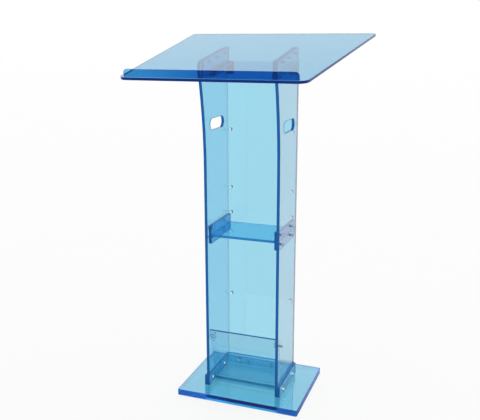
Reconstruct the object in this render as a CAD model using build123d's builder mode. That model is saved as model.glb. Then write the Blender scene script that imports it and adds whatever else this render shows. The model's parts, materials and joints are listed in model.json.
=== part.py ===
from build123d import *
from math import cos, radians, sin, tan
import os

# A free-standing presentation lectern in tinted clear sheet. Millimetres, +Z up.
# The speaker stands on the -Y side, +X is to the speaker's right, and the origin is the
# centre of the base plate's underside, on the floor.

# ---- driving dimensions -------------------------------------------------------------

FIT = 0.1  # working gap left between neighbouring sheets
SHEET = 10.0  # thickness of the column's sheets
EDGE_BREAK = 0.6  # polished bevel along the sheet edges

BASE_WIDTH = 432.0
BASE_DEPTH = 325.0
BASE_THICKNESS = 21.5
BASE_CORNER_RADIUS = 5.0
BASE_BEVEL = 1.2

COLUMN_WIDTH = 260.0
COLUMN_DEPTH = 200.0
BACK_PANEL_TOP = 1130.0

DESK_TILT = 10.0  # degrees, rising away from the speaker
DESK_FRONT_WIDTH = 560.0
DESK_REAR_WIDTH = 685.0
DESK_LENGTH = 700.0  # along the slope
DESK_THICKNESS = 8.0
DESK_FRONT_Y = -365.0  # lower front edge of the desk
DESK_FRONT_Z = 1097.0
DESK_FRONT_RADIUS = 28.0
DESK_REAR_RADIUS = 13.0

LIP_HEIGHT = 24.0
LIP_THICKNESS = 6.0
LIP_INSET = 20.0  # from each side edge of the desk
LIP_CORNER_RADIUS = 11.0

FLARE_START = 800.0  # height where the side panels start to sweep forward
FLARE_REACH = 45.0  # how far forward the sweep carries their front edge
PANEL_FRONT_CORNER_RADIUS = 22.0
PANEL_REAR_CORNER_RADIUS = 10.0

HANDLE_LENGTH = 120.0
HANDLE_HEIGHT = 38.0
HANDLE_Y = -2.0
HANDLE_Z = 938.5

BRACKET_THICKNESS = 8.0
BRACKET_WEB_FRONT = -130.0
BRACKET_LEDGE_FRONT = -84.0
BRACKET_DROP = 54.0  # from the desk's underside to the bottom of the ledge
BRACKET_LEDGE = 26.0  # how far the ledge and the tab stand out from the side panel
BRACKET_TAB_BOTTOM = 1092.0  # lower end of the tab against the back panel
BRACKET_TAB_SCREW_Z = 1103.0
BRACKET_SCREW_YS = (-75.0, -11.0, 58.0)
BRACKET_SCREW_DROP = 13.0  # below the desk's underside
BRACKET_INNER_RADIUS = 3.0
BRACKET_CORNER_RADIUS = 6.0

SHELF_THICKNESS = 8.0
SHELF_Z = 571.0  # mid-plane of the shelf
SHELF_SETBACK = 10.0  # behind the column's front edge
SHELF_END_BOTTOM = 542.0
SHELF_END_TOP = 605.0
SHELF_END_CORNER_RADIUS = 3.0
SHELF_SCREW_YS = (-73.0, 41.0)
SHELF_SCREW_ZS = (561.0, 593.0)

POCKET_FLOOR_THICKNESS = 10.0
POCKET_FLOOR_FRONT = -44.0
POCKET_SHEET = 6.0
POCKET_FOOT_Y = -38.0
POCKET_TOP_Y = -95.0
POCKET_TOP_Z = 230.0
POCKET_BLOCK_WIDTH = 10.0
POCKET_BLOCK_HEIGHT = 26.0
POCKET_BLOCK_DEPTH = 22.0
POCKET_BLOCK_UP = 166.0  # along the slope, from the sheet's foot
POCKET_BLOCK_RADIUS = 3.0

RAIL_THICKNESS = 8.0
RAIL_HEIGHT = 37.0
RAIL_END_RADIUS = 2.0
RAIL_SCREW_YS = (-68.0, 48.0)
RAIL_SCREW_RISE = 18.5  # above the base plate
REAR_RAIL_SCREW_XS = (-80.0, 80.0)
BASE_SCREW_YS = (-40.0, 78.0)
REAR_BASE_SCREW_XS = (-45.0, 45.0)

CLIP_ZS = (303.0, 610.0, 702.0, 906.0)
CLIP_HEIGHT = 9.0
CLIP_THICKNESS = 4.0
CLIP_BACK_LEG = 20.0
CLIP_SIDE_LEG = 14.0
CLIP_SCREW_X = 107.0

# M5 bolts and cap nuts through the sheets
BOLT_RADIUS = 2.5
CLEARANCE_RADIUS = 2.75
HEAD_RADIUS = 4.75
HEAD_HEIGHT = 2.75
HEAD_CROWN_RADIUS = 2.2
HEAD_RIM = 0.5
HEAD_SOCKET_RADIUS = 1.73  # across the corners of the hexagon socket
HEAD_SOCKET_DEPTH = 1.5
CAP_NUT_HEX_RADIUS = 4.62
CAP_NUT_HEX_HEIGHT = 3.8
CAP_NUT_DOME_RADIUS = 3.8
CAP_NUT_BORE_RADIUS = 2.52
CAP_NUT_BORE_DEPTH = 5.8
NUT_ENGAGEMENT = 5.0  # how far the bolts run into their cap nuts

# M4 countersunk screws up into the rails
BASE_SCREW_RADIUS = 2.0
BASE_SCREW_LENGTH = 40.0
BASE_CLEARANCE_RADIUS = 2.25
TAPPED_RADIUS = 2.02
COUNTERSINK_RADIUS = 4.4
FLAT_HEAD_RADIUS = 4.0
FLAT_HEAD_RECESS = 0.3  # the flat heads sit this far inside the base
FLAT_HEAD_ANGLE = 90.0
FLAT_SOCKET_RADIUS = 1.45
FLAT_SOCKET_DEPTH = 1.2
RAIL_TAPPED_DEPTH = 22.0

# ---- places worked out from them ----------------------------------------------------

COLUMN_FRONT = -COLUMN_DEPTH / 2
COLUMN_REAR = COLUMN_DEPTH / 2
OUTER_X = COLUMN_WIDTH / 2
INNER_X = OUTER_X - SHEET
LINER_X = INNER_X - FIT  # outer face of what is fixed inside the column
BACK_FACE_Y = COLUMN_REAR - SHEET
COLUMN_FOOT = BASE_THICKNESS + FIT
SIDES = (("left", -1), ("right", 1))

slope = radians(DESK_TILT)
desk_plane = Plane(
    origin=(0, DESK_FRONT_Y, DESK_FRONT_Z),
    x_dir=(1, 0, 0),
    z_dir=(0, -sin(slope), cos(slope)),
)


def desk_underside(y):
    """Height of the desk's lower face above the floor at a given y."""
    return DESK_FRONT_Z + (y - DESK_FRONT_Y) * tan(slope)


pocket_floor_top = COLUMN_FOOT + POCKET_FLOOR_THICKNESS
pocket_rise = Vector(0, POCKET_TOP_Y - POCKET_FOOT_Y, POCKET_TOP_Z - pocket_floor_top)
pocket_lean = radians(90) - radians(pocket_rise.get_angle(Vector(0, -1, 0)))
pocket_foot_z = pocket_floor_top + FIT + POCKET_SHEET * sin(pocket_lean)
pocket_plane = Plane(
    origin=(0, POCKET_FOOT_Y, pocket_foot_z),
    x_dir=(1, 0, 0),
    z_dir=(0, -cos(pocket_lean), -sin(pocket_lean)),
)

pocket_block_back = POCKET_SHEET + FIT + POCKET_BLOCK_DEPTH / 2
pocket_screw_point = pocket_plane.from_local_coords(Vector(0, POCKET_BLOCK_UP, -pocket_block_back))

rail_screw_z = COLUMN_FOOT + RAIL_SCREW_RISE
shelf_screw_yz = [(y, z) for y in SHELF_SCREW_YS for z in SHELF_SCREW_ZS]
rail_screw_yz = [(y, rail_screw_z) for y in RAIL_SCREW_YS]
bracket_screw_yz = [(y, desk_underside(y) - BRACKET_SCREW_DROP) for y in BRACKET_SCREW_YS]
pocket_screw_yz = [(pocket_screw_point.Y, pocket_screw_point.Z)]
side_panel_screw_yz = shelf_screw_yz + rail_screw_yz + bracket_screw_yz + pocket_screw_yz
rail_x = OUTER_X + FIT + RAIL_THICKNESS / 2
rear_rail_y = COLUMN_REAR + FIT + RAIL_THICKNESS / 2
base_screw_xy = [(side * rail_x, y) for _, side in SIDES for y in BASE_SCREW_YS]
base_screw_xy += [(x, rear_rail_y) for x in REAR_BASE_SCREW_XS]


def facing_x(side, x, y, z):
    """A plane at (side * x, y, z) whose normal points away from the column's middle."""
    return Plane(origin=(side * x, y, z), x_dir=(0, 1, 0), z_dir=(side, 0, 0))


def facing_y(x, y, z, direction):
    """A plane whose normal points along +Y or -Y."""
    return Plane(origin=(x, y, z), x_dir=(1, 0, 0), z_dir=(0, direction, 0))


def facing_down(x, y, z):
    return Plane(origin=(x, y, z), x_dir=(1, 0, 0), z_dir=(0, 0, -1))


def write(piece, name):
    piece.label = name
    export_step(piece, f"parts/{name}.step")


def break_sheet_edges(sheet, axis, size=EDGE_BREAK):
    """Bevels the outlines of a sheet's two large faces, which face along an axis."""
    faces = sheet.faces().sort_by(axis)
    chamfer(faces[0].edges() + faces[-1].edges(), size)


def drill_across(places_yz):
    """Clearance holes along X."""
    with Locations(*[facing_x(1, 0, y, z) for y, z in places_yz]):
        Hole(CLEARANCE_RADIUS)


os.makedirs("parts", exist_ok=True)

# ---- base ---------------------------------------------------------------------------

with BuildPart() as base_plate:
    with BuildSketch():
        RectangleRounded(BASE_WIDTH, BASE_DEPTH, BASE_CORNER_RADIUS)
    extrude(amount=BASE_THICKNESS)
    chamfer(base_plate.faces().sort_by(Axis.Z)[-1].edges(), BASE_BEVEL)
    chamfer(base_plate.faces().sort_by(Axis.Z)[0].edges(), EDGE_BREAK)
    with Locations(*[facing_down(x, y, 0) for x, y in base_screw_xy]):
        CounterSinkHole(BASE_CLEARANCE_RADIUS, COUNTERSINK_RADIUS, counter_sink_angle=FLAT_HEAD_ANGLE)
write(base_plate.part, "base_plate")

# The rails are strips outside the column that tie its sheets to the base: a screw runs
# sideways through each rail into the sheet, and others come up from under the base.


def base_rail(length, screw_offsets, tapped_offsets):
    """A rail lying along X with its inner face on y = 0, its foot on z = 0."""
    with BuildPart() as rail:
        with BuildSketch():
            with Locations((0, RAIL_THICKNESS / 2)):
                Rectangle(length, RAIL_THICKNESS)
        extrude(amount=RAIL_HEIGHT)
        fillet(rail.faces().sort_by(Axis.Z)[-1].edges().filter_by(Axis.Y), RAIL_END_RADIUS)
        break_sheet_edges(rail, Axis.Y)
        with Locations(*[facing_y(x, 0, RAIL_SCREW_RISE, 1) for x in screw_offsets]):
            Hole(CLEARANCE_RADIUS)
        with Locations(*[facing_down(x, RAIL_THICKNESS / 2, 0) for x in tapped_offsets]):
            Cylinder(
                TAPPED_RADIUS,
                RAIL_TAPPED_DEPTH,
                align=(Align.CENTER, Align.CENTER, Align.MAX),
                mode=Mode.SUBTRACT,
            )
    return rail.part


for side_name, side in SIDES:
    along_y = Plane(origin=(side * (OUTER_X + FIT), 0, COLUMN_FOOT), x_dir=(0, -side, 0), z_dir=(0, 0, 1))
    offsets = [[-side * y for y in places] for places in (RAIL_SCREW_YS, BASE_SCREW_YS)]
    with BuildPart(along_y) as side_rail:
        add(base_rail(COLUMN_DEPTH, *offsets))
    write(side_rail.part, f"{side_name}_base_rail")

with BuildPart(Plane.XY.offset(COLUMN_FOOT).move(Location((0, COLUMN_REAR + FIT, 0)))) as rear_base_rail:
    add(base_rail(COLUMN_WIDTH, REAR_RAIL_SCREW_XS, REAR_BASE_SCREW_XS))
write(rear_base_rail.part, "rear_base_rail")

# ---- column -------------------------------------------------------------------------

for side_name, side in SIDES:
    left_face = side * (OUTER_X + INNER_X) / 2 - SHEET / 2
    flare_top_y = COLUMN_FRONT - FLARE_REACH
    with BuildPart() as side_panel:
        with BuildSketch(Plane.YZ.offset(left_face)) as side_outline:
            with BuildLine():
                foot = Line((COLUMN_FRONT, COLUMN_FOOT), (COLUMN_REAR, COLUMN_FOOT))
                rear = Line(foot @ 1, (COLUMN_REAR, desk_underside(COLUMN_REAR) - FIT))
                top = Line(rear @ 1, (flare_top_y, desk_underside(flare_top_y) - FIT))
                front = Line(foot @ 0, (COLUMN_FRONT, FLARE_START))
                TangentArc(front @ 1, top @ 1, tangent=front % 1)
            make_face()
            fillet(side_outline.vertices().sort_by(Axis.Y)[-2], PANEL_FRONT_CORNER_RADIUS)
            fillet(side_outline.vertices().sort_by(Axis.Y)[-1], PANEL_REAR_CORNER_RADIUS)
            with Locations((HANDLE_Y, HANDLE_Z)):
                SlotOverall(HANDLE_LENGTH, HANDLE_HEIGHT, mode=Mode.SUBTRACT)
        extrude(amount=SHEET)
        break_sheet_edges(side_panel, Axis.X)
        drill_across(side_panel_screw_yz)
    write(side_panel.part, f"{side_name}_side_panel")

with BuildPart() as back_panel:
    with BuildSketch(Plane.XZ.offset(-COLUMN_REAR)):
        with Locations((0, (COLUMN_FOOT + BACK_PANEL_TOP) / 2)):
            Rectangle(2 * LINER_X, BACK_PANEL_TOP - COLUMN_FOOT)
    extrude(amount=SHEET)
    break_sheet_edges(back_panel, Axis.Y)
    clip_holes = [(side * CLIP_SCREW_X, z) for _, side in SIDES for z in CLIP_ZS]
    tab_holes = [(side * CLIP_SCREW_X, BRACKET_TAB_SCREW_Z) for _, side in SIDES]
    rear_rail_holes = [(x, rail_screw_z) for x in REAR_RAIL_SCREW_XS]
    back_panel_holes = clip_holes + tab_holes + rear_rail_holes
    with Locations(*[facing_y(x, COLUMN_REAR, z, 1) for x, z in back_panel_holes]):
        Hole(CLEARANCE_RADIUS)
write(back_panel.part, "back_panel")

# Small angle clips bonded to the side panels hold the back panel from inside the corners.
with BuildPart() as corner_clips:
    for _, side in SIDES:
        for z in CLIP_ZS:
            with BuildSketch(Plane.XY.offset(z - CLIP_HEIGHT / 2)) as clip_outline:
                with BuildLine():
                    Polyline(
                        (side * LINER_X, BACK_FACE_Y - FIT),
                        (side * LINER_X, BACK_FACE_Y - CLIP_SIDE_LEG),
                        (side * (LINER_X - CLIP_THICKNESS), BACK_FACE_Y - CLIP_SIDE_LEG),
                        (side * (LINER_X - CLIP_THICKNESS), BACK_FACE_Y - FIT - CLIP_THICKNESS),
                        (side * (LINER_X - CLIP_BACK_LEG), BACK_FACE_Y - FIT - CLIP_THICKNESS),
                        (side * (LINER_X - CLIP_BACK_LEG), BACK_FACE_Y - FIT),
                        close=True,
                    )
                make_face()
            extrude(amount=CLIP_HEIGHT)
    with Locations(*[facing_y(x, BACK_FACE_Y, z, 1) for x, z in clip_holes]):
        Hole(CLEARANCE_RADIUS)
write(corner_clips.part, "corner_clips")

# ---- shelf --------------------------------------------------------------------------

shelf_front = COLUMN_FRONT + SHELF_SETBACK
shelf_rear = BACK_FACE_Y - FIT
shelf_mid_y = (shelf_front + shelf_rear) / 2
shelf_depth = shelf_rear - shelf_front
shelf_half_width = LINER_X - SHEET - FIT

with BuildPart() as shelf_plate:
    with BuildSketch(Plane.XY.offset(SHELF_Z - SHELF_THICKNESS / 2)):
        with Locations((0, shelf_mid_y)):
            Rectangle(2 * shelf_half_width, shelf_depth)
    extrude(amount=SHELF_THICKNESS)
    break_sheet_edges(shelf_plate, Axis.Z)
write(shelf_plate.part, "shelf_plate")

for side_name, side in SIDES:
    with BuildPart() as shelf_end_plate:
        with BuildSketch(Plane.YZ.offset(side * (LINER_X - SHEET / 2) - SHEET / 2)) as end_outline:
            with Locations((shelf_mid_y, (SHELF_END_BOTTOM + SHELF_END_TOP) / 2)):
                Rectangle(shelf_depth, SHELF_END_TOP - SHELF_END_BOTTOM)
            fillet(end_outline.vertices(), SHELF_END_CORNER_RADIUS)
        extrude(amount=SHEET)
        break_sheet_edges(shelf_end_plate, Axis.X)
        drill_across(shelf_screw_yz)
    write(shelf_end_plate.part, f"{side_name}_shelf_end_plate")

# ---- document pocket ----------------------------------------------------------------

pocket_length = (POCKET_TOP_Z - pocket_foot_z) / cos(pocket_lean)

with BuildPart() as pocket_floor:
    with BuildSketch(Plane.XY.offset(COLUMN_FOOT)):
        with Locations((0, (POCKET_FLOOR_FRONT + BACK_FACE_Y - FIT) / 2)):
            Rectangle(2 * LINER_X, BACK_FACE_Y - FIT - POCKET_FLOOR_FRONT)
    extrude(amount=POCKET_FLOOR_THICKNESS)
    break_sheet_edges(pocket_floor, Axis.Z)
write(pocket_floor.part, "pocket_floor")

with BuildPart() as pocket_front_sheet:
    with BuildSketch(pocket_plane):
        Rectangle(2 * LINER_X, pocket_length, align=(Align.CENTER, Align.MIN))
    extrude(amount=-POCKET_SHEET)
    sheet_faces = pocket_front_sheet.faces().sort_by(SortBy.AREA)
    chamfer(sheet_faces[-1].edges() + sheet_faces[-2].edges(), EDGE_BREAK)
write(pocket_front_sheet.part, "pocket_front_sheet")

with BuildPart() as pocket_end_blocks:
    block_x = LINER_X - POCKET_BLOCK_WIDTH / 2
    with BuildSketch(pocket_plane.offset(-POCKET_SHEET - FIT)):
        with Locations((-block_x, POCKET_BLOCK_UP), (block_x, POCKET_BLOCK_UP)):
            Rectangle(POCKET_BLOCK_WIDTH, POCKET_BLOCK_HEIGHT)
    extrude(amount=-POCKET_BLOCK_DEPTH)
    rear_face_edges = pocket_end_blocks.edges().filter_by(Axis.X).group_by(Axis.Y)[-1]
    fillet(rear_face_edges, POCKET_BLOCK_RADIUS)
    drill_across(pocket_screw_yz)
write(pocket_end_blocks.part, "pocket_end_blocks")

# ---- reading desk -------------------------------------------------------------------

with BuildPart() as reading_desk:
    with BuildSketch(desk_plane) as desk_outline:
        with BuildLine():
            Polyline(
                (-DESK_FRONT_WIDTH / 2, 0),
                (DESK_FRONT_WIDTH / 2, 0),
                (DESK_REAR_WIDTH / 2, DESK_LENGTH),
                (-DESK_REAR_WIDTH / 2, DESK_LENGTH),
                close=True,
            )
        make_face()
        fillet(desk_outline.vertices().group_by(Axis.Y)[0], DESK_FRONT_RADIUS)
        fillet(desk_outline.vertices().group_by(Axis.Y)[-1], DESK_REAR_RADIUS)
    extrude(amount=DESK_THICKNESS)
    desk_faces = reading_desk.faces().sort_by(SortBy.AREA)
    chamfer(desk_faces[-1].edges() + desk_faces[-2].edges(), EDGE_BREAK)
write(reading_desk.part, "reading_desk")

lip_foot = desk_plane.from_local_coords(Vector(0, EDGE_BREAK, DESK_THICKNESS + FIT))
lip_plane = Plane(origin=lip_foot, x_dir=(1, 0, 0), z_dir=(0, -cos(slope), -sin(slope)))
with BuildPart() as desk_lip:
    with BuildSketch(lip_plane) as lip_outline:
        Rectangle(DESK_FRONT_WIDTH - 2 * LIP_INSET, LIP_HEIGHT, align=(Align.CENTER, Align.MIN))
        fillet(lip_outline.vertices().group_by(Axis.Y)[-1], LIP_CORNER_RADIUS)
    extrude(amount=-LIP_THICKNESS)
    lip_faces = desk_lip.faces().sort_by(SortBy.AREA)
    chamfer(lip_faces[-1].edges() + lip_faces[-2].edges(), EDGE_BREAK)
write(desk_lip.part, "desk_lip")

# Each bracket is a web under the desk, screwed through the side panel, with a ledge along
# its foot and a tab that runs down the back panel.
bracket_rear = BACK_FACE_Y - FIT
tab_front = bracket_rear - BRACKET_THICKNESS
ledge_rise = BRACKET_THICKNESS / cos(slope)


def bracket_foot(y):
    return desk_underside(y) - FIT - BRACKET_DROP


for side_name, side in SIDES:
    against_panel = Plane.YZ.offset(side * LINER_X)
    with BuildPart() as desk_bracket:
        with BuildSketch(against_panel):
            with BuildLine():
                Polyline(
                    (BRACKET_WEB_FRONT, bracket_foot(BRACKET_WEB_FRONT)),
                    (BRACKET_WEB_FRONT, desk_underside(BRACKET_WEB_FRONT) - FIT),
                    (bracket_rear, desk_underside(bracket_rear) - FIT),
                    (bracket_rear, bracket_foot(bracket_rear)),
                    close=True,
                )
            make_face()
        extrude(amount=-side * BRACKET_THICKNESS)
        with BuildSketch(against_panel):
            with BuildLine():
                Polyline(
                    (BRACKET_LEDGE_FRONT, bracket_foot(BRACKET_LEDGE_FRONT)),
                    (BRACKET_LEDGE_FRONT, bracket_foot(BRACKET_LEDGE_FRONT) + ledge_rise),
                    (bracket_rear, bracket_foot(bracket_rear) + ledge_rise),
                    (bracket_rear, BRACKET_TAB_BOTTOM),
                    (tab_front, BRACKET_TAB_BOTTOM),
                    (tab_front, bracket_foot(tab_front)),
                    close=True,
                )
            make_face()
        extrude(amount=-side * BRACKET_LEDGE)
        ledge_top = (side * (LINER_X - BRACKET_THICKNESS), 0, bracket_foot(0) + ledge_rise)
        fillet(desk_bracket.edges().sort_by_distance(ledge_top)[0], BRACKET_INNER_RADIUS)
        ledge_foot = bracket_foot(BRACKET_LEDGE_FRONT)
        ledge_corner = (side * (LINER_X - BRACKET_LEDGE), BRACKET_LEDGE_FRONT, ledge_foot)
        upright_edges = desk_bracket.edges().filter_by(Axis.Z)
        fillet(upright_edges.sort_by_distance(ledge_corner)[0], BRACKET_CORNER_RADIUS)
        drill_across(bracket_screw_yz)
        with Locations(facing_y(side * CLIP_SCREW_X, bracket_rear, BRACKET_TAB_SCREW_Z, 1)):
            Hole(CLEARANCE_RADIUS, depth=BRACKET_THICKNESS)
    write(desk_bracket.part, f"{side_name}_desk_bracket")

# ---- fasteners ----------------------------------------------------------------------


def button_bolt(grip):
    """An M5 button-head bolt: its head bears on z = 0 and its shank points down."""
    with BuildPart() as bolt:
        with BuildSketch(Plane.XZ):
            with BuildLine():
                Polyline(
                    (0, HEAD_HEIGHT),
                    (0, -grip - NUT_ENGAGEMENT),
                    (BOLT_RADIUS, -grip - NUT_ENGAGEMENT),
                    (BOLT_RADIUS, 0),
                    (HEAD_RADIUS, 0),
                    (HEAD_RADIUS, HEAD_RIM),
                )
                TangentArc((HEAD_RADIUS, HEAD_RIM), (HEAD_CROWN_RADIUS, HEAD_HEIGHT), tangent=(0, 1))
                Line((HEAD_CROWN_RADIUS, HEAD_HEIGHT), (0, HEAD_HEIGHT))
            make_face()
        revolve(axis=Axis.Z)
        with BuildSketch(Plane.XY.offset(HEAD_HEIGHT)):
            RegularPolygon(HEAD_SOCKET_RADIUS, 6)
        extrude(amount=-HEAD_SOCKET_DEPTH, mode=Mode.SUBTRACT)
    return bolt.part


def cap_nut():
    """An M5 domed nut bearing on z = 0, with its closed end up."""
    with BuildPart() as nut:
        with BuildSketch():
            RegularPolygon(CAP_NUT_HEX_RADIUS, 6)
        extrude(amount=CAP_NUT_HEX_HEIGHT)
        with Locations((0, 0, CAP_NUT_HEX_HEIGHT)):
            Sphere(CAP_NUT_DOME_RADIUS, arc_size1=0, align=(Align.CENTER, Align.CENTER, Align.MIN))
        Cylinder(
            CAP_NUT_BORE_RADIUS,
            CAP_NUT_BORE_DEPTH,
            align=(Align.CENTER, Align.CENTER, Align.MIN),
            mode=Mode.SUBTRACT,
        )
    return nut.part


def flat_head_screw():
    """An M4 countersunk screw: its flat head lies in z = 0 and its shank points down."""
    head_depth = FLAT_HEAD_RADIUS - BASE_SCREW_RADIUS
    with BuildPart() as screw:
        with BuildSketch(Plane.XZ):
            with BuildLine():
                Polyline(
                    (0, 0),
                    (FLAT_HEAD_RADIUS, 0),
                    (BASE_SCREW_RADIUS, -head_depth),
                    (BASE_SCREW_RADIUS, -BASE_SCREW_LENGTH),
                    (0, -BASE_SCREW_LENGTH),
                    close=True,
                )
            make_face()
        revolve(axis=Axis.Z)
        with BuildSketch():
            RegularPolygon(FLAT_SOCKET_RADIUS, 6)
        extrude(amount=-FLAT_SOCKET_DEPTH, mode=Mode.SUBTRACT)
    return screw.part


def fasteners(name, fastener, planes):
    """One node holding the same fastener on each of the planes."""
    with BuildPart() as group:
        with Locations(*planes):
            add(fastener)
    write(group.part, name)


def cross_bolted(prefix, places_yz, nut_x, head_x):
    """Bolts from inside the column with cap nuts outside, on both sides."""
    fasteners(
        f"{prefix}_screws",
        button_bolt(nut_x - head_x),
        [facing_x(side, head_x, y, z).reverse() for _, side in SIDES for y, z in places_yz],
    )
    fasteners(
        f"{prefix}_cap_nuts",
        cap_nut(),
        [facing_x(side, nut_x, y, z) for _, side in SIDES for y, z in places_yz],
    )


cross_bolted("desk_bracket", bracket_screw_yz, OUTER_X, LINER_X - BRACKET_THICKNESS)
cross_bolted("shelf", shelf_screw_yz, OUTER_X, LINER_X - SHEET)
cross_bolted("pocket", pocket_screw_yz, OUTER_X, LINER_X - POCKET_BLOCK_WIDTH)
cross_bolted("side_rail", rail_screw_yz, OUTER_X + FIT + RAIL_THICKNESS, INNER_X)


def back_bolted(prefix, places_xz, head_y, nut_y):
    """Bolts from behind the back panel with cap nuts inside."""
    fasteners(
        f"{prefix}_screws",
        button_bolt(head_y - nut_y),
        [facing_y(x, head_y, z, 1) for x, z in places_xz],
    )
    fasteners(f"{prefix}_cap_nuts", cap_nut(), [facing_y(x, nut_y, z, -1) for x, z in places_xz])


back_bolted("corner_clip", clip_holes, COLUMN_REAR, BACK_FACE_Y - FIT - CLIP_THICKNESS)
back_bolted("bracket_tab", tab_holes, COLUMN_REAR, tab_front)
back_bolted("rear_rail", rear_rail_holes, COLUMN_REAR + FIT + RAIL_THICKNESS, BACK_FACE_Y)

fasteners(
    "base_screws",
    flat_head_screw(),
    [facing_down(x, y, FLAT_HEAD_RECESS) for x, y in base_screw_xy],
)
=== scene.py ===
import json
import math

import bmesh
import bpy
from mathutils import Matrix, Vector


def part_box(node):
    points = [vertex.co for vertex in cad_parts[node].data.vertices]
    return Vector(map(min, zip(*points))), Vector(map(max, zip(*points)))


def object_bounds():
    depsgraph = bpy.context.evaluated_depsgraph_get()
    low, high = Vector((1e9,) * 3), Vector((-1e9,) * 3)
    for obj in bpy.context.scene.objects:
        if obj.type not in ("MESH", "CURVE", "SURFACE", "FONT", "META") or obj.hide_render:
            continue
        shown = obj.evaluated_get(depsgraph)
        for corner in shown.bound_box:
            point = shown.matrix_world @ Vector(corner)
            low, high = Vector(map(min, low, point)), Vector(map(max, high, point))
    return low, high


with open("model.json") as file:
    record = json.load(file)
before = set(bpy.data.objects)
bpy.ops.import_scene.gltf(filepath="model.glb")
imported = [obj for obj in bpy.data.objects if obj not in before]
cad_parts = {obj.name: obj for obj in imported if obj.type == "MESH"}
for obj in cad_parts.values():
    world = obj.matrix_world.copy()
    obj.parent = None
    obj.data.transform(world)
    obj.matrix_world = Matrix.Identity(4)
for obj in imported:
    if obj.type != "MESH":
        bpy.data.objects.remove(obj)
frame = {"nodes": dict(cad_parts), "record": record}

# A presentation lectern in tinted cast acrylic with stainless fasteners, on a white studio sweep.
# Metres, with +X to the speaker's right, -Y the speaker's side and +Z up.

cad_low, cad_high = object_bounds()
scene = bpy.context.scene
nodes = frame["nodes"]
WHITE = (1.0, 1.0, 1.0, 1.0)

# ---- node helpers ---------------------------------------------------------------------


class Graph:
    """A short way to write a material's nodes."""

    def __init__(self, tree):
        self.tree = tree
        tree.nodes.clear()

    def node(self, kind, inputs=None, **settings):
        made = self.tree.nodes.new(kind)
        for key, value in settings.items():
            setattr(made, key, value)
        for key, value in (inputs or {}).items():
            if isinstance(value, bpy.types.NodeSocket):
                self.tree.links.new(value, made.inputs[key])
            else:
                made.inputs[key].default_value = value
        return made

    def maths(self, operation, a, b=0.0, c=0.0, clamp=False):
        made = self.node("ShaderNodeMath", {0: a, 1: b, 2: c}, operation=operation, use_clamp=clamp)
        return made.outputs[0]

    def opposite(self, share):
        return self.maths("SUBTRACT", 1.0, share)

    def noise(self, vector, scale, detail=2.0, roughness=0.5):
        inputs = {"Vector": vector, "Scale": scale, "Detail": detail, "Roughness": roughness}
        return self.node("ShaderNodeTexNoise", inputs).outputs["Fac"]

    def ramp(self, value, low, high, to_low=0.0, to_high=1.0):
        inputs = {"Value": value, "From Min": low, "From Max": high, "To Min": to_low, "To Max": to_high}
        return self.node("ShaderNodeMapRange", inputs, clamp=True).outputs["Result"]

    def stretched(self, vector, scale):
        return self.node("ShaderNodeMapping", {"Vector": vector, "Scale": scale}).outputs["Vector"]

    def axes(self, vector):
        return self.node("ShaderNodeSeparateXYZ", {0: vector}).outputs

    def mix(self, share, first, second):
        """Between two numbers."""
        return self.node("ShaderNodeMix", {0: share, 2: first, 3: second}, data_type="FLOAT").outputs[0]

    def blend(self, share, first, second):
        """Between two colours."""
        return self.node("ShaderNodeMix", {0: share, 6: first, 7: second}, data_type="RGBA").outputs[2]

    def bump(self, height, strength, distance):
        inputs = {"Height": height, "Strength": strength, "Distance": distance}
        return self.node("ShaderNodeBump", inputs).outputs["Normal"]


def new_material(name):
    material = bpy.data.materials.new(name)
    material.use_nodes = True
    return material, Graph(material.node_tree)


def finish_with(node_name, material):
    """Puts one material on every slot of a CAD node."""
    for slot in nodes[node_name].material_slots:
        slot.material = material


def nodes_of(slot_name):
    return [row["node"] for row in frame["record"]["subparts"] if row["material_slot"] == slot_name]


def sheet_normal(node_name):
    """The direction that a sheet's two large faces look in."""
    widest = max(nodes[node_name].data.polygons, key=lambda face: face.area)
    return widest.normal.copy()


# ---- tinted acrylic -------------------------------------------------------------------

MM = 0.001
ACRYLIC_IOR = 1.49
CEMENTED_IOR = 1.03  # hardly any reflection
POLISH_IOR = 2.0  # a strongly mirroring top coat
FACE_ROUGHNESS = 0.012
SMUDGE_ROUGHNESS = 0.035
HAIRLINE_ROUGHNESS = 0.03
EDGE_ROUGHNESS = 0.08
FROSTED = 0.35  # the share of an edge that is clear; the rest is coloured and dull
POLISHED_EDGE = 0.7
CLEAR = 1.0

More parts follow.
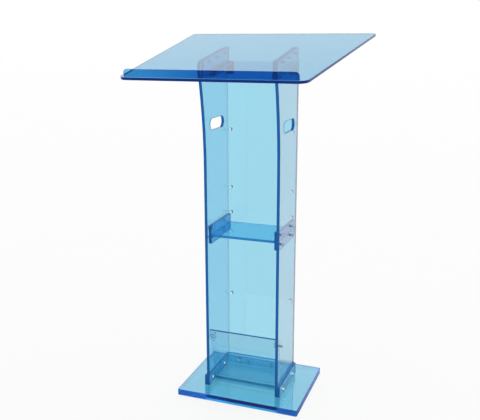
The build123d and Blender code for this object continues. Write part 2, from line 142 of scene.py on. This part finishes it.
# Each sheet: the share of light that passes its polished faces, the share that passes its edges,
# what its body absorbs per mm, and how clear its edges are. Apart from the clear corner clips and
# pocket end blocks, the sheets are one tinted acrylic: where a sheet's face or edge tint differs from
# FACE and EDGE, the difference is painted light (paler) and painted shade (deeper), such as the right
# side panel's pale faces, a painted reflection of the bright floor.
BODY = (0.0060, 0.0035, 0.0018)
THICK_BODY = (0.0090, 0.0026, 0.0010)
PALE_BODY = (0.0050, 0.0020, 0.0010)
FACE = (0.386, 0.748, 0.89)
EDGE = (0.02, 0.20, 0.60)
PANEL = (FACE, EDGE, BODY, FROSTED)
SHELF_END_PAINTED_SHADE = ((0.18, 0.52, 0.85), EDGE, BODY, FROSTED)
BRACKET_PAINTED_SHADE = (FACE, (0.02, 0.12, 0.40), BODY, FROSTED)
ACRYLIC_TINTS_AND_PAINTED_LIGHT = {
    "left_side_panel": ((0.315, 0.66, 0.85), EDGE, BODY, FROSTED),
    "right_side_panel": ((0.84, 0.90, 0.94), EDGE, BODY, FROSTED),
    "reading_desk": ((0.14, 0.49, 0.73), (0.008, 0.055, 0.34), BODY, FROSTED),
    "back_panel": (FACE, (0.30, 0.62, 0.85), BODY, FROSTED),
    "desk_lip": ((0.17, 0.50, 0.80), (0.10, 0.40, 0.80), BODY, FROSTED),
    "left_desk_bracket": BRACKET_PAINTED_SHADE,
    "right_desk_bracket": BRACKET_PAINTED_SHADE,
    "left_shelf_end_plate": SHELF_END_PAINTED_SHADE,
    "right_shelf_end_plate": SHELF_END_PAINTED_SHADE,
    "right_base_rail": ((0.42, 0.84, 0.98), EDGE, BODY, FROSTED),
    "shelf_plate": ((0.22, 0.67, 0.92), (0.04, 0.38, 0.88), BODY, FROSTED),
    "pocket_floor": ((0.50, 0.82, 0.93), (0.12, 0.55, 0.92), BODY, FROSTED),
    "pocket_front_sheet": ((0.80, 0.90, 0.94), (0.06, 0.26, 0.62), BODY, FROSTED),
    "base_plate": ((0.22, 0.75, 0.93), (0.05, 0.32, 1.0), THICK_BODY, POLISHED_EDGE),
    "corner_clips": ((0.80, 0.93, 0.97), (0.70, 0.90, 0.95), PALE_BODY, CLEAR),
    "pocket_end_blocks": ((0.70, 0.90, 0.95), (0.60, 0.85, 0.93), PALE_BODY, CLEAR),
}

# Upright edges with painted light and shade: a painted lit tint on those that look back (+1), towards the
# light from behind, and a painted lilac shade on those that look to the front (-1).
PAINTED_LIT_EDGE = (0.80, 0.90, 0.95, 1.0)
PAINTED_SHADE_EDGE = (0.42, 0.44, 0.62, 1.0)
EDGES_WITH_PAINTED_LIGHT = {
    "left_side_panel": (1, PAINTED_LIT_EDGE),
    "right_side_panel": (1, PAINTED_LIT_EDGE),
    "left_desk_bracket": (-1, PAINTED_SHADE_EDGE),
    "right_desk_bracket": (-1, PAINTED_SHADE_EDGE),
}

# How squarely a spot must face along the sheet's normal to count as one of its faces. The small
# bevels of the desk and the base look like their edges, those of the other sheets like faces.
FACE_LIMIT = 0.6
FACE_LIMIT_DARK_BEVELS = 0.85
DARK_BEVELS = ("base_plate", "reading_desk")

# Painted shade on the desk lip in front of the column.
LIP_PAINTED_SHADE = (0.05, 0.26, 0.68, 1.0)
LIP_SHADE_FROM = 0.8  # where the painted shade starts, as a share of the way from the lectern's middle to the lip's left end

DENSITY_MARGIN = 1.02  # keeps every colour of an absorbing body above black

# A painted dark band in the base plate's front and rear edges, standing for the column's foot seen through
# the plate, with a painted glow below it standing for light piped along the plate.
BAND_SHIFT = 0.020  # refraction moves it towards +X
BAND_INSET = 0.008  # and makes it a little narrower than the column
BAND_BLUR = 0.006
BAND_SINK = 0.001  # how far it reaches below mid-thickness
BAND_SOFTNESS = 0.002
PAINTED_BAND_SHADE = (0.01, 0.04, 0.26, 1.0)
PAINTED_PIPED_LIGHT = (0.16, 0.72, 1.0, 1.0)
PAINTED_PIPED_GLOW = (0.0, 0.45, 1.0, 1.0)
PAINTED_GLOW_STRENGTH = 0.3


def surface_wear(g, where, on_face):
    """Roughness: handling marks and hairline scratches on the faces, polishing lines on the edges."""
    smudges = g.ramp(g.noise(where, 9.0, 4.0, 0.6), 0.5, 0.8)
    hairlines = g.ramp(g.noise(g.stretched(where, (30.0, 30.0, 900.0)), 1.0, 2.0), 0.66, 0.74)
    handled = g.maths("MULTIPLY_ADD", smudges, SMUDGE_ROUGHNESS, FACE_ROUGHNESS)
    worn = g.maths("MULTIPLY_ADD", hairlines, HAIRLINE_ROUGHNESS, handled)
    lines = g.noise(g.stretched(where, (500.0, 500.0, 500.0)), 1.0, 3.0)
    polished = g.ramp(lines, 0.3, 0.7, EDGE_ROUGHNESS * 0.5, EDGE_ROUGHNESS * 1.6)
    return g.mix(on_face, polished, worn)


# Paints the listed edges' light and shade by which way they look along Y.
def painted_edge_light_and_shade(g, node_name, edge_tint, normal):
    if node_name not in EDGES_WITH_PAINTED_LIGHT:
        return edge_tint
    side, painted_tint = EDGES_WITH_PAINTED_LIGHT[node_name]
    looks_along = g.maths("MULTIPLY", g.axes(normal)["Y"], side)
    return g.blend(g.ramp(looks_along, 0.3, 0.6), edge_tint, painted_tint)


def painted_band_in_base_edge(g, edge_tint, where, on_face):
    """The base plate's edge with painted light and shade: a painted dark band where the column's foot
    would show in it, and below it a painted glow standing for light piped along the plate. Gives the edge's
    tint and its painted glow."""
    spot = g.axes(where)
    plate_low, plate_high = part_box("base_plate")
    half_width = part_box("right_base_rail")[1].x - BAND_INSET
    sideways = g.maths("ABSOLUTE", g.maths("SUBTRACT", spot["X"], BAND_SHIFT))
    painted_band_span = g.ramp(sideways, half_width, half_width - BAND_BLUR)
    band_bottom = (plate_low.z + plate_high.z) / 2 - BAND_SINK
    in_painted_band = g.ramp(spot["Z"], band_bottom - BAND_SOFTNESS, band_bottom)
    tint = g.blend(painted_band_span, edge_tint, g.blend(in_painted_band, PAINTED_PIPED_LIGHT, PAINTED_BAND_SHADE))
    painted_glow_mask = g.maths("MULTIPLY", painted_band_span, g.opposite(in_painted_band))
    glow = g.maths("MULTIPLY", g.maths("MULTIPLY", painted_glow_mask, g.opposite(on_face)), PAINTED_GLOW_STRENGTH)
    return tint, glow


def lip_with_painted_shade(g, face_tint, where):
    """Painted shade: the lip is tinted deeper towards the lectern's middle and on to its right end, standing
    for the column's shade seen behind it.
    """
    lip_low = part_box("desk_lip")[0]
    return g.blend(g.ramp(g.axes(where)["X"], lip_low.x * LIP_SHADE_FROM, 0.0), face_tint, LIP_PAINTED_SHADE)


def acrylic(node_name, face, edge, absorption, edge_clarity):
    material, g = new_material("acrylic_" + node_name)
    geometry = g.node("ShaderNodeNewGeometry").outputs
    where = geometry["Position"]
    normal = geometry["True Normal"]
    facing = g.node("ShaderNodeVectorMath", {0: normal, 1: sheet_normal(node_name)}, operation="DOT_PRODUCT")
    limit = FACE_LIMIT_DARK_BEVELS if node_name in DARK_BEVELS else FACE_LIMIT
    on_face = g.maths("GREATER_THAN", g.maths("ABSOLUTE", facing.outputs["Value"]), limit)

    face_tint = (*face, 1.0)
    # Painted light on the side panels' back-looking edges, painted shade on the brackets' front-looking
    # edges.
    edge_tint = painted_edge_light_and_shade(g, node_name, (*edge, 1.0), normal)
    index = ACRYLIC_IOR
    polish = 0.0
    glow = 0.0
    # Painted shade on the lip in front of the column.
    if node_name == "desk_lip":
        face_tint = lip_with_painted_shade(g, face_tint, where)
    if node_name == "reading_desk":
        # The lip is cemented to the desk, so the desk's own gloss does not show through the lip:
        # it goes from the second surface that the light crosses.
        depth = g.node("ShaderNodeLightPath").outputs["Transmission Depth"]
        index = g.ramp(depth, 1.4, 1.6, ACRYLIC_IOR, CEMENTED_IOR)
    # The base plate's edges get a painted dark band and a painted glow below it.
    if node_name == "base_plate":
        edge_tint, glow = painted_band_in_base_edge(g, edge_tint, where, on_face)
        polish = on_face

    # Cast sheet is never quite flat.
    waves = g.bump(g.noise(where, 7.0, 1.0), 0.10, 0.002)
    surface = g.node("ShaderNodeBsdfPrincipled", {
        "Base Color": g.blend(on_face, edge_tint, face_tint),
        "Roughness": surface_wear(g, where, on_face), "IOR": index, "Normal": waves,
        "Transmission Weight": g.mix(on_face, edge_clarity, CLEAR),
        "Coat Weight": polish, "Coat IOR": POLISH_IOR, "Coat Roughness": FACE_ROUGHNESS,
        "Emission Color": PAINTED_PIPED_GLOW, "Emission Strength": glow,
    }).outputs[0]
    density = max(absorption) * DENSITY_MARGIN / MM
    colour = tuple(1 - share / MM / density for share in absorption)
    volume = g.node("ShaderNodeVolumeAbsorption", {"Color": (*colour, 1.0), "Density": density}).outputs[0]
    g.node("ShaderNodeOutputMaterial", {"Surface": surface, "Volume": volume})
    finish_with(node_name, material)


for sheet in nodes_of("tinted_acrylic"):
    acrylic(sheet, *ACRYLIC_TINTS_AND_PAINTED_LIGHT.get(sheet, PANEL))

# ---- stainless fasteners --------------------------------------------------------------

# Fasteners that get a painted glint; the others have only the painted dark rims.
GETS_PAINTED_GLINT = ("side_rail_cap_nuts", "side_rail_screws", "corner_clip_cap_nuts")
STEEL_ROUGHNESS = (0.16, 0.34)
DARKER_STEEL = (0.80, 0.80, 0.81, 1.0)
LIGHTER_STEEL = (0.95, 0.95, 0.94, 1.0)
# Painted shade on the rims of the steel domes.
PAINTED_RIM_SHADE = (0.10, 0.10, 0.12, 1.0)


def stainless(name, painted_glint_strength):
    """Turned steel, with painted shade on the rims of its domes and a painted glint, a white glow, in the
    middle of each dome.
    """
    material, g = new_material(name)
    where = g.node("ShaderNodeNewGeometry").outputs["Position"]
    turned = g.noise(g.stretched(where, (2500.0, 2500.0, 2500.0)), 1.0, 2.0)
    tone = g.blend(g.noise(where, 260.0, 3.0), DARKER_STEEL, LIGHTER_STEEL)
    # Painted shade: the steel turns dark where it is seen at a slant, at the rims.
    painted_rim = g.ramp(g.node("ShaderNodeLayerWeight", {"Blend": 0.5}).outputs["Facing"], 0.35, 0.75)
    surface = g.node("ShaderNodeBsdfPrincipled", {
        "Base Color": g.blend(painted_rim, tone, PAINTED_RIM_SHADE), "Metallic": 1.0,
        "Roughness": g.ramp(turned, 0.3, 0.7, *STEEL_ROUGHNESS), "Normal": g.bump(turned, 0.25, 0.00005),
        "Emission Color": WHITE, "Emission Strength": g.ramp(painted_rim, 0.0, 0.6, painted_glint_strength, 0.0),
    }).outputs[0]
    g.node("ShaderNodeOutputMaterial", {"Surface": surface})
    return material


steel_with_painted_glint = stainless("stainless_painted_glint", 0.5)
steel_without_glint = stainless("stainless_no_glint", 0.0)
for fastener in nodes_of("stainless_steel"):
    finish_with(fastener, steel_with_painted_glint if fastener in GETS_PAINTED_GLINT else steel_without_glint)

# ---- studio ---------------------------------------------------------------------------

FLOOR_GAP = 0.0004  # keeps the floor's surface clear of the base's underside
FLOOR_SPAN = 60.0
FLOOR_WHITE = 0.96  # what the floor sends back outside the base, glow and reflection together
UNDER_WHITE = 0.92  # and what it reflects below the base
FLOOR_GLOW = 0.86  # a lit studio sweep, so hardly anything casts a shadow on it
UNDER_GLOW = 0.30  # what of the glow reaches below the base plate
DARK_SIDE = 0.08  # the floor's painted reflection in front, and what reflections find of the room behind the camera
LIT_SIDE = 0.75  # and the floor's painted reflection behind the lectern
FLOOR_TURN = 0.3  # how far from the middle the floor's painted reflection turns dark in front and light behind
UNDER_BASE_EDGE = (-0.006, 0.002)  # where the floor below the base gives way to the open floor
CEILING_LOW = 0.92  # what reflections find of the ceiling near the walls
CEILING_TOP = 0.45  # and straight above
BACKLIGHT_FRONT = 0.3  # what lights dull surfaces from the front
BACKLIGHT_REAR = 1.9  # and from behind
KEY_DIRECTION = (0.35, 0.55, -1.0)
KEY_STRENGTH = 0.45
KEY_SPREAD = 50.0


def seen_in_reflection(g):
    path = g.node("ShaderNodeLightPath").outputs
    return g.maths("SUBTRACT", path["Is Glossy Ray"], path["Is Transmission Ray"], clamp=True)


def studio_floor():
    mesh = bpy.data.meshes.new("studio_floor")
    shape = bmesh.new()
    bmesh.ops.create_grid(shape, x_segments=4, y_segments=4, size=FLOOR_SPAN / 2)
    bmesh.ops.translate(shape, verts=shape.verts, vec=(0, 0, cad_low.z - FLOOR_GAP))
    shape.to_mesh(mesh)
    shape.free()
    floor = bpy.data.objects.new("studio_floor", mesh)
    scene.collection.objects.link(floor)
    material, g = new_material("studio_floor")
    where = g.node("ShaderNodeNewGeometry").outputs["Position"]
    spot = g.axes(where)
    base_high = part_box("base_plate")[1]
    beside = g.maths("SUBTRACT", g.maths("ABSOLUTE", spot["X"]), base_high.x)
    beyond = g.maths("SUBTRACT", g.maths("ABSOLUTE", spot["Y"]), base_high.y)
    clear_of_base = g.ramp(g.maths("MAXIMUM", beside, beyond), *UNDER_BASE_EDGE)
    albedo = g.ramp(clear_of_base, 0.0, 1.0, UNDER_WHITE, FLOOR_WHITE - FLOOR_GLOW)
    uneven = g.ramp(g.noise(where, 3.0, 3.0), 0.3, 0.7, 0.99, 1.01)
    tone = g.maths("MULTIPLY", albedo, uneven)
    body = g.node("ShaderNodeBsdfPrincipled", {
        "Base Color": g.node("ShaderNodeCombineColor", {0: tone, 1: tone, 2: tone}).outputs[0],
        "Roughness": 0.9, "Specular IOR Level": 0.1,
        "Emission Color": WHITE, "Emission Strength": g.ramp(clear_of_base, 0.0, 1.0, UNDER_GLOW, FLOOR_GLOW),
    }).outputs[0]
    # Painted reflection: rays reflected off the lectern see the floor as a glow, dark in front and light
    # behind, instead of its own shading.
    painted_reflection_strength = g.ramp(spot["Y"], -FLOOR_TURN, FLOOR_TURN, DARK_SIDE, LIT_SIDE)
    painted_reflection = g.node("ShaderNodeEmission", {"Color": WHITE, "Strength": painted_reflection_strength}).outputs[0]
    seen = g.node("ShaderNodeMixShader", {0: seen_in_reflection(g), 1: body, 2: painted_reflection}).outputs[0]
    g.node("ShaderNodeOutputMaterial", {"Surface": seen})
    mesh.materials.append(material)


def studio_world():
    """White all round for the camera, with the light coming from behind the lectern."""
    world = bpy.data.worlds.new("studio")
    scene.world = world
    world.use_nodes = True
    g = Graph(world.node_tree)
    spot = g.axes(g.node("ShaderNodeTexCoord").outputs["Generated"])
    ceiling = g.ramp(spot["Z"], 0.45, 0.95, CEILING_LOW, CEILING_TOP)
    front = g.ramp(spot["Y"], -0.25, 0.25, DARK_SIDE, 1.0)
    plain = g.mix(seen_in_reflection(g), 1.0, g.maths("MULTIPLY", ceiling, front))
    backlight = g.ramp(spot["Y"], -0.6, 0.9, BACKLIGHT_FRONT, BACKLIGHT_REAR)
    path = g.node("ShaderNodeLightPath").outputs
    lights_a_dull_surface = g.maths("GREATER_THAN", path["Diffuse Depth"], 0.5)
    strength = g.mix(lights_a_dull_surface, plain, backlight)
    background = g.node("ShaderNodeBackground", {"Color": WHITE, "Strength": strength}).outputs[0]
    g.node("ShaderNodeOutputWorld", {"Surface": background})


def sun(name, direction, strength, spread):
    lamp = bpy.data.lights.new(name, "SUN")
    lamp.energy = strength
    lamp.angle = math.radians(spread)
    lamp.use_shadow = False
    holder = bpy.data.objects.new(name, lamp)
    holder.rotation_euler = Vector(direction).to_track_quat("-Z", "Y").to_euler()
    scene.collection.objects.link(holder)


studio_floor()
studio_world()
sun("key", KEY_DIRECTION, KEY_STRENGTH, KEY_SPREAD)

# Light crosses many sheets one behind another, and bounces inside each.
SHEET_BOUNCES = 64
scene.view_settings.view_transform = "Standard"
scene.cycles.max_bounces = SHEET_BOUNCES
scene.cycles.transmission_bounces = SHEET_BOUNCES
scene.cycles.glossy_bounces = SHEET_BOUNCES
scene.cycles.transparent_max_bounces = 24

# ---- camera ---------------------------------------------------------------------------

LENS_MM = 51.35
SENSOR_MM = 36.0
CAMERA_AZIMUTH = math.radians(20.20)  # to the speaker's right of straight behind the speaker
CAMERA_ELEVATION = math.radians(14.32)
CAMERA_ROLL = math.radians(0.14)
CAMERA_DISTANCE = 2.3335
AIM_OFFSET = Vector((-0.0412, 0.0228, 0.0308))  # from the middle of the lectern's box


def place_camera():
    aim = (cad_low + cad_high) / 2 + AIM_OFFSET
    back = Vector((
        math.sin(CAMERA_AZIMUTH) * math.cos(CAMERA_ELEVATION),
        -math.cos(CAMERA_AZIMUTH) * math.cos(CAMERA_ELEVATION),
        math.sin(CAMERA_ELEVATION),
    ))
    turn = back.to_track_quat("Z", "Y").to_matrix().to_4x4()
    roll = Matrix.Rotation(-CAMERA_ROLL, 4, "Z")
    data = bpy.data.cameras.new("camera")
    data.lens = LENS_MM
    data.sensor_width = SENSOR_MM
    camera = bpy.data.objects.new("camera", data)
    camera.matrix_world = Matrix.Translation(aim + back * CAMERA_DISTANCE) @ turn @ roll
    scene.collection.objects.link(camera)
    scene.camera = camera


place_camera()
